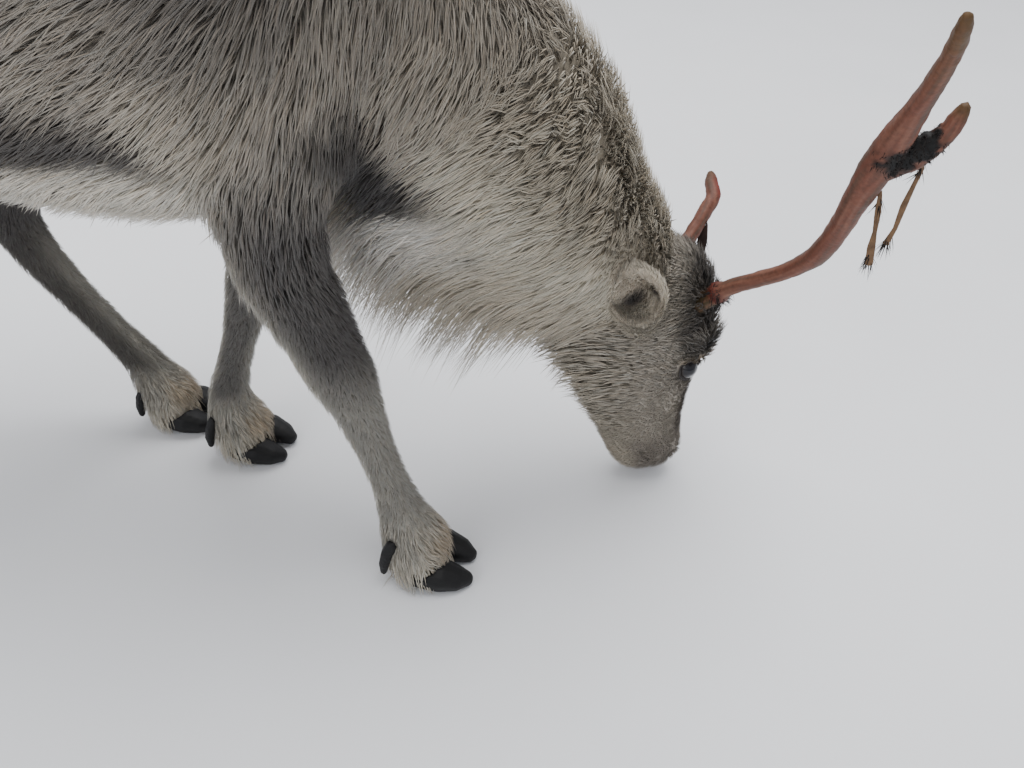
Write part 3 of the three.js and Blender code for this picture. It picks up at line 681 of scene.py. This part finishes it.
def blades(name, verts, shades, uvs, shape, look):
    """A mesh of many copies of one blade, whose corners are given for each copy."""
    n, k = verts.shape[:2]
    corners, starts = shape["corners"], shape["starts"]
    mesh = bpy.data.meshes.new(name)
    mesh.vertices.add(n * k)
    mesh.vertices.foreach_set("co", verts.astype(np.float32).ravel())
    loops = (corners[None, :] + (np.arange(n) * k)[:, None]).ravel()
    mesh.loops.add(len(loops))
    mesh.loops.foreach_set("vertex_index", loops.astype(np.int32))
    begin = (starts[None, :] + (np.arange(n) * len(corners))[:, None]).ravel()
    mesh.polygons.add(len(begin))
    mesh.polygons.foreach_set("loop_start", begin.astype(np.int32))
    mesh.update(calc_edges=True)
    mesh.polygons.foreach_set("use_smooth", np.ones(len(begin), bool))
    layer = mesh.color_attributes.new("Tint", "FLOAT_COLOR", "POINT")
    rgba = np.ones((n * k, 4), np.float32)
    rgba[:, :3] = np.clip(shades.reshape(-1, 3), 0, 1)
    layer.data.foreach_set("color", rgba.ravel())
    uv = mesh.uv_layers.new(name="OFBake")
    uv.data.foreach_set("uv", uvs.reshape(-1, 2)[loops].astype(np.float32).ravel())
    mesh.materials.append(look)
    obj = bpy.data.objects.new(name, mesh)
    bpy.context.scene.collection.objects.link(obj)
    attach(obj, "root")


def surface(obj):
    """The corners of each triangle of a mesh, and its area."""
    mesh = obj.data
    mesh.calc_loop_triangles()
    tri = np.zeros(len(mesh.loop_triangles) * 3, np.int32)
    mesh.loop_triangles.foreach_get("vertices", tri)
    tri = tri.reshape(-1, 3)
    co, _ = arrays(obj)
    a, b, c = co[tri[:, 0]], co[tri[:, 1]], co[tri[:, 2]]
    return tri, np.linalg.norm(np.cross(b - a, c - a), axis=1) / 2


def scatter(obj, tri, share, count):
    """Seeded points on a mesh by the triangles' shares: places, normals, and their corners with weights."""
    co, no = arrays(obj)
    chosen = rng.choice(len(tri), count, p=share / share.sum())
    u, v = rng.random(count), rng.random(count)
    over = u + v > 1
    u[over], v[over] = 1 - u[over], 1 - v[over]
    parts = np.stack([1 - u - v, u, v], 1)
    corners = tri[chosen]
    at = (co[corners] * parts[..., None]).sum(1)
    normal = unit((no[corners] * parts[..., None]).sum(1))
    return at, normal, corners, parts


def lay(root, normal, flow, length, rise, droop):
    """Middle and tip of hairs that leave the skin and bend down along it."""
    flow = unit(flow - normal * (flow * normal).sum(1, keepdims=True))
    middle = root + flow * (length * 0.46)[:, None] + normal * (rise * 0.66)[:, None]
    tip = root + flow * (length * 0.96)[:, None] + normal * rise[:, None]
    tip = tip - np.array([0, 0, 1.0]) * droop[:, None]
    return middle, tip


def grow_coat(name, obj, values, density, triangles, clump_gap, look, proud):
    """Tufts on an object's surface. The values are those of coat_at, and density scales the tufts' number."""
    colour, flow, length, width, depth, clump, hang, stand, uv = values
    length, width = np.maximum(length, 0.004), np.maximum(width, 0.0008)
    cost = np.where(length < SHORT_HAIR, SHORT["triangles"], LONG["triangles"])
    weight = density / (length * width)
    tri, area = surface(obj)
    share = area * weight[tri].mean(1)
    count = int(triangles / ((share * cost[tri].mean(1)).sum() / share.sum()))
    at, normal, corners, parts = scatter(obj, tri, share, count)

    def on(field):
        return (field[corners] * (parts[..., None] if field.ndim == 2 else parts)).sum(1)

    hue, way, size, wide = on(colour), on(flow), on(length), on(width)
    deep, tuftiness, limp, up = on(depth), on(clump), on(hang), on(stand)
    patch = uv[corners[:, 0]]
    size = size * rng.uniform(0.75, 1.2, count)
    wide = wide * rng.uniform(0.75, 1.25, count)
    jitter = rng.normal(0, 0.16, (count, 3)) * (1 + 60 * up)[:, None]
    way = unit(way) + jitter + 0.22 * np.stack([wander(at, 34, seed) for seed in (1, 4, 8)], 1)
    rise = np.minimum((deep + up + proud) * rng.uniform(0.7, 1.1, count), size * 0.6)
    middle, tip = lay(at, normal, way, size, rise, size * limp)
    # Neighbours lean together into clumps
    lone = 1 / (0.5 + tuftiness) ** 2
    leads = min(count // 2, max(8, int(area.sum() / clump_gap**2)))
    chosen = rng.choice(count, leads, replace=False, p=lone / lone.sum())
    tree = KDTree(len(chosen))
    for j, i in enumerate(chosen):
        tree.insert(at[i], j)
    tree.balance()
    lead = chosen[np.array([tree.find(p)[1] for p in at])]
    pull = (tuftiness * rng.uniform(0.6, 1.0, count))[:, None]
    offset = tip[lead] - at[lead]
    gather = at[lead] + (at - at[lead]) * 0.15 + offset * (size / np.maximum(size[lead], 1e-6))[:, None]
    tip = tip * (1 - pull) + gather * pull
    between_ends = at * 0.5 + gather * 0.5 + normal * (rise * 0.25)[:, None]
    middle = middle * (1 - pull * 0.35) + between_ends * pull * 0.35
    root = at - normal * np.minimum(0.0015, deep * 0.4 + 0.0004)[:, None]
    tip[:, 2] = np.maximum(tip[:, 2], 0.004)
    middle[:, 2] = np.maximum(middle[:, 2], 0.006)
    side = unit(np.cross(normal, unit(tip - root)))
    top = unit(np.cross(unit(tip - root), side))
    tone = rng.normal(1, 0.10, count)[:, None] * (1 + 0.12 * wander(at[lead], 400, 2))[:, None]
    warm = 1 + rng.normal(0, 0.025, count)[:, None] * np.array([1, 0, -1])
    hue = hue * tone * warm
    half = (wide * 0.5)[:, None]
    v0, v1, v2 = root - side * half, root + side * half, root + top * half * 0.7
    mid = half * 0.82
    v3, v4, v5 = middle - side * mid, middle + side * mid, middle + top * mid * 0.6
    # Painted shade and painted light: each blade is darker at its root, deep in the coat, and lighter at its
    # tip
    dark, medium, light = hue * 0.84, hue * 0.98, hue * 1.10
    left, right = patch + [-BAKE_SPOT, -BAKE_SPOT], patch + [BAKE_SPOT, -BAKE_SPOT]
    far = patch + [0, BAKE_SPOT]
    long_sets = (
        (v0, v1, v2, v3, v4, v5, tip),
        (dark, dark, dark, medium, medium, medium, light),
        (left, right, patch, left * 0.5 + far * 0.5, right * 0.5 + far * 0.5, patch, far),
    )
    short_sets = ((v0, v1, v2, tip), (dark, dark, dark, light), (left, right, patch, far))
    short = size < SHORT_HAIR
    for which, sets, shape in ((~short, long_sets, LONG), (short, short_sets, SHORT)):
        order = np.flatnonzero(which)
        if not len(order):
            continue
        order = order[np.argsort(at[order, 0], kind="stable")]
        groups = max(1, math.ceil(len(order) * shape["triangles"] / PIECE_TRIANGLES))
        for g, ids in enumerate(np.array_split(order, groups)):
            verts, shades, uvs = (np.stack([column[ids] for column in columns], 1) for columns in sets)
            blades(f"{name}_{shape['tag']}_{g + 1}", verts, shades, uvs, shape, look)


# Materials
class Wire:
    """A shader socket that takes part in Python arithmetic, and the node tree that it belongs to."""

    def __init__(self, tree, socket=None):
        self.tree, self.socket = tree, socket

    def put(self, target, value):
        if isinstance(value, Wire):
            self.tree.links.new(value.socket, target)
        elif isinstance(value, (tuple, list)) and len(target.default_value) == 4:
            target.default_value = (*value[:3], 1)
        else:
            target.default_value = value

    def make(self, kind, out=0, settings=None, **inputs):
        """Any node: settings by name, inputs by socket name with _ for a space, and the socket it gives."""
        node = self.tree.nodes.new(kind)
        for key, value in (settings or {}).items():
            setattr(node, key, value)
        for key, value in inputs.items():
            self.put(node.inputs[key.replace("_", " ")], value)
        return Wire(self.tree, node.outputs[out])

    def maths(self, operation, a, b):
        vectors = [v for v in (a, b) if isinstance(v, (tuple, list))]
        vectors += [v for v in (a, b) if isinstance(v, Wire) and v.socket.type != "VALUE"]
        wide = bool(vectors)
        node = self.tree.nodes.new("ShaderNodeVectorMath" if wide else "ShaderNodeMath")
        node.operation = operation
        for target, value in zip(node.inputs, (a, b)):
            if wide and isinstance(value, (int, float)):
                value = (value,) * 3
            self.put(target, value)
        return Wire(self.tree, node.outputs[0])

    def __add__(self, other): return self.maths("ADD", self, other)
    def __radd__(self, other): return self.maths("ADD", other, self)
    def __sub__(self, other): return self.maths("SUBTRACT", self, other)
    def __rsub__(self, other): return self.maths("SUBTRACT", other, self)
    def __mul__(self, other): return self.maths("MULTIPLY", self, other)
    def __rmul__(self, other): return self.maths("MULTIPLY", other, self)
    def __pow__(self, other): return self.maths("POWER", self, other)


def noise(w, scale, detail=3.0, stretch=(1, 1, 1)):
    """Noise through the object's own space, 0 to 1."""
    where = w.make("ShaderNodeTexCoord", out="Object") * tuple(stretch)
    return w.make("ShaderNodeTexNoise", out=0, Vector=where, Scale=scale, Detail=detail)


def between(factor, a, b):
    """From colour a to colour b."""
    return (1 - factor) * a + factor * b


def material(name, roughness, build, **constants):
    """A Principled material. build(wire, shader) sets what varies over the surface."""
    made = bpy.data.materials.new(name)
    made.use_nodes = True
    tree = made.node_tree
    shader = next(n for n in tree.nodes if n.type == "BSDF_PRINCIPLED")
    shader.inputs["Roughness"].default_value = roughness
    for key, value in constants.items():
        shader.inputs[key.replace("_", " ")].default_value = value
    build(Wire(tree), shader)
    return made


def coat_nodes(w, shader):
    colour = w.make("ShaderNodeAttribute", settings={"attribute_name": "Tint"})
    grain = noise(w, 420, 2.0)
    w.put(shader.inputs["Base Color"], colour * (0.78 + grain * 0.44))


def hide_nodes(w, shader):
    colour = w.make("ShaderNodeAttribute", settings={"attribute_name": "Tint"})
    grain = noise(w, 900, 3.0)
    w.put(shader.inputs["Base Color"], colour * (0.7 + grain * 0.6))
    bump = w.make("ShaderNodeBump", Strength=0.35, Distance=0.0008, Height=grain)
    w.put(shader.inputs["Normal"], bump)


def horn_nodes(w, shader):
    rings = noise(w, 90, 3.0, (0.6, 0.6, 3.0))
    w.put(shader.inputs["Base Color"], between(rings, tuple(srgb(4, 4, 5)), tuple(srgb(20, 19, 20))))
    w.put(shader.inputs["Roughness"], 0.42 + rings * 0.25)
    w.put(shader.inputs["Normal"], w.make("ShaderNodeBump", Strength=0.5, Distance=0.001, Height=rings))


def antler_nodes(w, shader):
    colour = w.make("ShaderNodeAttribute", settings={"attribute_name": "Tint"})
    streak = noise(w, 260, 4.0)
    w.put(shader.inputs["Base Color"], colour * (0.48 + streak * 0.80))
    w.put(shader.inputs["Roughness"], 0.46 + streak * 0.22)
    w.put(shader.inputs["Normal"], w.make("ShaderNodeBump", Strength=0.45, Distance=0.0012, Height=streak))


def velvet_nodes(w, shader, dark=(52, 36, 26), pale=(138, 106, 74)):
    fray = noise(w, 150, 4.0)
    w.put(shader.inputs["Base Color"], between(fray, tuple(srgb(*dark)), tuple(srgb(*pale))))
    w.put(shader.inputs["Normal"], w.make("ShaderNodeBump", Strength=0.8, Distance=0.001, Height=fray))


def dark_velvet_nodes(w, shader):
    velvet_nodes(w, shader, (14, 10, 8), (64, 42, 32))


def eye_nodes(w, shader):
    colour = w.make("ShaderNodeAttribute", settings={"attribute_name": "Tint"})
    ray = noise(w, 900, 2.0)
    w.put(shader.inputs["Base Color"], colour * (0.75 + ray * 0.5))


COAT = material("coat_hair", 0.62, coat_nodes, Sheen_Weight=0.12, Sheen_Roughness=0.5)
SKIN = material("skin_hide", 0.7, hide_nodes)
HORN = material("dark_horn", 0.5, horn_nodes, Specular_IOR_Level=0.3)
ANTLER = material("antler_bone", 0.55, antler_nodes, Specular_IOR_Level=0.3)
VELVET = material("dried_velvet", 0.8, velvet_nodes)
VELVET_DARK = material("dark_velvet", 0.85, dark_velvet_nodes)
VELVET_SHRED = material("velvet_shred", 0.85, coat_nodes)
EYEBALL = material("wet_eye", 0.12, eye_nodes, Specular_IOR_Level=0.3, Coat_Weight=0.25, Coat_Roughness=0.03)
skin.data.materials.clear()
skin.data.materials.append(SKIN)

co, no = arrays(skin)
values = list(coat_at(co))
values[0] = mix(values[0], BARE_SKIN * 1.3, dark * 0.9)
local = in_head(co)
# Inside the ears the head's coat is short and pale, with a dark canal
in_ear, canal = np.zeros(len(co)), np.zeros(len(co))
for s in (1, -1):
    flip = np.array([1, s, 1])
    start = EAR_ROOT * flip + unit(EAR_WAY * flip) * 0.034
    stop = start + unit(EAR_WAY * flip) * 0.070
    far = polyline_distance(local, [start, stop])
    in_ear = np.maximum(in_ear, 1 - step(0.019, 0.027, far))
    values[2] = values[2] * (0.40 + 0.60 * step(0.030, 0.070, far))
    hole = EAR_ROOT * flip + unit(EAR_WAY * flip) * 0.052
    canal = np.maximum(canal, np.exp(-((np.linalg.norm(local - hole, axis=1) / 0.019) ** 4)))
values[2] = values[2] * (1 - in_ear) + 0.006 * in_ear
values[0] = mix(mix(values[0], srgb(184, 172, 154), in_ear), srgb(34, 26, 22), in_ear * canal)
tint(skin, mix(mix(colour * 0.95, BARE_SKIN, dark), values[0] * 0.9, in_ear))
covered = (1 - np.clip(bare * 1.6, 0, 1)) + 1e-6
grow_coat("coat", skin, values, covered, COAT_TRIANGLES, 0.012, COAT, 0.003)


# Ears
def ear_coat(obj, s):
    """Paints an ear and returns its coat: short hair, a pale rim and inside, a dark edge and canal."""
    co, no = arrays(obj)
    q, facing = in_head(co), no @ HEAD_TURN
    flip = np.array([1, s, 1])
    way, opening, root = unit(EAR_WAY * flip), unit(EAR_OPEN * flip), EAR_ROOT * flip
    along = (q - root) @ way
    across = (q - root) @ unit(np.cross(opening, way)) * s
    facing_in = facing @ opening
    radial = q - root - along[:, None] * way
    inward = -(unit(radial - (radial @ opening)[:, None] * opening) * facing).sum(1)
    inner = np.maximum(step(0.30, 0.65, facing_in), step(0.2, 0.6, inward)) * step(0.026, 0.036, along)
    rim = bump_at(facing_in, 0.35, 0.30) * (1 - step(0.5, 0.8, facing_in))
    arc = inner * step(0.014, 0.004, (q - root) @ opening) * step(0.044, 0.058, along)
    canal = inner * np.exp(-(((along - 0.050) / 0.016) ** 2 + (across / 0.010) ** 2))
    colour = blend(CHEEK, (CREAM, rim * 0.6), (srgb(196, 184, 166), inner * 0.6),
                   (srgb(34, 27, 23), arc * 0.95), (srgb(40, 30, 25), canal * 0.9))
    flow = np.broadcast_to(HEAD_TURN @ (way - opening * 0.1), co.shape)
    turn = np.arctan2(q[:, 0], q[:, 2]) / (2 * np.pi) + 0.5
    uv = np.stack([0.70 + 0.28 * turn, 0.70 + 0.28 * np.clip(along / 0.12, 0, 1)], 1)
    tint(obj, colour * 0.9)
    one = np.ones(len(co))
    length = 0.012 + 0.006 * rim - 0.007 * inner
    return colour, flow, length, 0.0012 * one, 0.0012 * one, 0.3 * one, 0.03 * one, 0 * one, uv


for side, s in (("left", 1), ("right", -1)):
    ear = remeshed(f"ear_{side}_skin", [cad_bmesh(f"ear_{side}")], 0.0022)
    smooth_verts(ear, 4)
    values = ear_coat(ear, s)
    ear.data.materials.clear()
    ear.data.materials.append(SKIN)
    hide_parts(f"ear_{side}")
    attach(ear, "root")
    grow_coat(f"coat_ear_{side}", ear, values, np.ones(len(values[2])), EAR_TRIANGLES, 0.006, COAT, 0.002)


# Eyes
def eyeball(side, s):
    """A wet eyeball with a low cornea, a dark iris and a wide pupil."""
    centre = np.array(HEAD_ROW @ Vector((np.array(EYE) + EYE_SET) * [1, s, 1]))
    out, long, high = (HEAD_TURN @ axis for axis in eye_axes(s))
    bm = bmesh.new()
    bmesh.ops.create_uvsphere(bm, u_segments=64, v_segments=40, radius=EYE_RADIUS)
    bmesh.ops.translate(bm, verts=bm.verts, vec=Vector(centre))
    bmesh.ops.recalc_face_normals(bm, faces=bm.faces)
    obj = to_object(f"eyeball_{side}", bm)
    co, _ = arrays(obj)
    d = (co - centre) / EYE_RADIUS
    a, b, f = d @ long, d @ high, d @ out
    bulge = step(0.80, 1.0, f)
    place(obj, co + out * (0.0012 * bulge)[:, None])
    iris = (1 - step(0.62, 0.70, np.sqrt(a * a + b * b))) * (f > 0)
    pupil = (1 - step(0.85, 1.0, np.sqrt((a / 0.46) ** 2 + (b / 0.22) ** 2))) * (f > 0)
    colour = blend(srgb(34, 26, 24), (srgb(26, 24, 30), iris), (srgb(8, 11, 22), pupil))
    tint(obj, colour)
    obj.data.materials.append(EYEBALL)
    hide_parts(f"eye_{side}")
    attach(obj, "root")


eyeball("left", 1)
eyeball("right", -1)


# Antlers and their velvet
ANTLER_BROWN = srgb(106, 62, 48)
ANTLER_BASE = srgb(112, 74, 60)
ANTLER_PALE = srgb(138, 98, 80)
ANTLER_RED = srgb(118, 28, 18)
ANTLER_TIP = srgb(84, 54, 30)
ANTLER_OLIVE = srgb(92, 78, 46)
ANTLER_GREY = srgb(88, 70, 58)
ANTLER_BLACK = srgb(7, 6, 6)


def frayed(obj, where, count, size, tag="shreds", droop=0.4):
    """Dried shreds of velvet that stand on a piece where the weight says."""
    co, no = arrays(obj)
    one = np.ones(len(co))
    waves = np.stack([wander(co, 300, seed) for seed in (1, 4, 8)], 1)
    ragged = no + 0.8 * waves - [0, 0, droop]
    hue = np.broadcast_to(srgb(30, 22, 18), co.shape) * (1 + 0.5 * wander(co, 500))[:, None]
    uv = np.stack([0.5 + 0.4 * unit(no)[:, 0], 0.5 + 0.4 * unit(no)[:, 2]], 1)
    values = (hue, ragged, size * one, 0.0012 * one, 0.001 * one, 0.5 * one, 0.3 * one, size * 0.4 * one, uv)
    triangles = count * SHORT["triangles"]
    grow_coat(f"{obj.name}_{tag}", obj, values, where + 1e-6, triangles, 0.004, VELVET_SHRED, 0.001)


def antler(name, row, nodes, burr=True, patch=None):
    """One antler's beam: a rough ring at its foot, streaked bone, and a crusty patch where the palm is."""
    limb = Limb(row, side=(0.5, 0.8, 0.3), steps=10)
    obj = to_object(name, rings_mesh(limb, 32, cap=0.7))
    co, no = arrays(obj)
    t, x, y, _, _ = limb.coords(co)
    foot = bump_at(t * limb.span, 1.08, 0.22) * burr
    crust = np.zeros(len(co))
    if patch is not None:
        *ends, size = patch
        away = polyline_distance(co, [np.array(at) * MM + SHIFT for at in ends]) + 0.005 * wander(co, 260)
        crust = step(size + 0.004, size - 0.002, away)
    rough = 0.0006 * wander(co, 120) + 0.0004 * wander(co, 330, 3) - 0.0006
    rough = rough + foot * (0.0038 + 0.0016 * wander(co, 420, 6)) + crust * 0.0012 * wander(co, 500, 9)
    place(obj, co + no * rough[:, None])
    tip = step(0.72, 1.0, t)
    olive = np.clip(tip * (0.5 + 0.5 * wander(co, 70, 5)), 0, 1)
    red = bump_at(t, 0.74, 0.12) * step(0.0, 0.7, x)
    lines = wander(np.stack([x * 4.2, y * 4.2, t * limb.span * 1.1], 1), 1.0, 7)
    grey, pale = np.clip(lines * 0.9 + 0.1, 0, 0.8), np.clip(-lines * 0.8, 0, 0.5)
    below_burr = step(0.95, 0.80, t * limb.span) * burr
    colour = blend(ANTLER_BROWN, (ANTLER_BASE, step(0.35, 0.05, t) * 0.8), (ANTLER_OLIVE * 0.5, below_burr),
                   (ANTLER_GREY, grey), (ANTLER_PALE, pale), (ANTLER_TIP, tip * 0.85),
                   (ANTLER_RED, red * 0.8), (ANTLER_RED, foot * 0.6), (ANTLER_OLIVE, olive * 0.6),
                   (ANTLER_BLACK, np.maximum(crust, foot * 0.45)))
    tint(obj, colour)
    obj.data.materials.append(ANTLER)
    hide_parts(*nodes)
    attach(obj, "root")
    if burr:
        frayed(obj, foot, 160, 0.010)
    if patch is not None:
        frayed(obj, crust, 420, 0.0035, tag="crust")


# The crusty patch: the ends of its middle line in millimetres, and its reach in metres
PATCH = ((579, -86, 589), (594, -90, 605), 0.016)
RIGHT_NODES = ["antler_right_base", "antler_right_beam", "antler_right_main_tine"]
antler("antler_right", BEAM_RIGHT, RIGHT_NODES, patch=PATCH)
antler("antler_right_tine", TINE_RIGHT, ["antler_right_second_tine"], burr=False, patch=PATCH)
antler("antler_left", BEAM_LEFT, ["antler_left_base", "antler_left_beam"])


# Claws and strips of velvet
def finish_node(name, voxel, look, smoothing=3):
    """A CAD node's own shape, smoothed, with a better material."""
    obj = remeshed(f"{name}_fine", [cad_bmesh(name)], voxel)
    smooth_verts(obj, smoothing)
    obj.data.materials.clear()
    obj.data.materials.append(look)
    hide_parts(name)
    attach(obj, "root")
    return obj


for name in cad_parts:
    if name.startswith(("claw", "dewclaw")):
        finish_node(name, 0.0022, HORN)
    elif "velvet" in name:
        strand = finish_node(name, 0.0008, VELVET_DARK if "left" in name else VELVET, 2)
        at = arrays(strand)[0][:, 2]
        low_end, high_end = at.min(), at.max()
        ends = step(low_end + 0.016, low_end + 0.006, at) + 0.7 * bump_at(at, high_end - 0.012, 0.005)
        if "left" in name:
            ends = step(low_end + 0.045, low_end + 0.020, at)
        frayed(strand, ends, 44, 0.012, droop=2.2)


# Floor, light and camera
floor_bm = bmesh.new()
bmesh.ops.create_grid(floor_bm, x_segments=2, y_segments=2, size=12)
floor = to_object("floor", floor_bm)


def floor_nodes(w, shader):
    grain = noise(w, 3, 2.0)
    w.put(shader.inputs["Base Color"], between(grain, (0.80, 0.81, 0.83), (0.86, 0.87, 0.89)))


floor.data.materials.append(material("pale_floor", 0.9, floor_nodes))

world = bpy.data.worlds.new("studio")
bpy.context.scene.world = world
world.use_nodes = True
world.node_tree.nodes["Background"].inputs["Color"].default_value = (0.94, 0.955, 1.0, 1)
world.node_tree.nodes["Background"].inputs["Strength"].default_value = 0.74


def area_light(name, at, target, size, power):
    lamp = bpy.data.lights.new(name, "AREA")
    lamp.shape, lamp.size, lamp.energy = "SQUARE", size, power
    obj = bpy.data.objects.new(name, lamp)
    obj.location = at
    obj.rotation_euler = (Vector(target) - Vector(at)).to_track_quat("-Z", "Y").to_euler()
    bpy.context.scene.collection.objects.link(obj)


area_light("sky_panel", (0.3, 0.8, 4.2), (0, 0, 0.5), 4.0, 235)
area_light("side_panel", (-2.0, -3.4, 2.6), (0, 0, 0.5), 3.0, 50)

# The photograph's viewpoint, found by fitting its feet on one floor
CAMERA_AT = Vector((0.365, -0.862, 0.912))
PITCH, YAW = math.radians(38), math.radians(-9)
FOCAL_PIXELS, PICTURE_WIDTH = 900, 1024
camera_data = bpy.data.cameras.new("camera")
camera_data.lens = FOCAL_PIXELS / PICTURE_WIDTH * camera_data.sensor_width
camera = bpy.data.objects.new("camera", camera_data)
bpy.context.scene.collection.objects.link(camera)
camera.location = CAMERA_AT + Vector(SHIFT)
forward = Vector((math.sin(YAW) * math.cos(PITCH), math.cos(YAW) * math.cos(PITCH), -math.sin(PITCH)))
camera.rotation_euler = forward.to_track_quat("-Z", "Y").to_euler()
bpy.context.scene.camera = camera
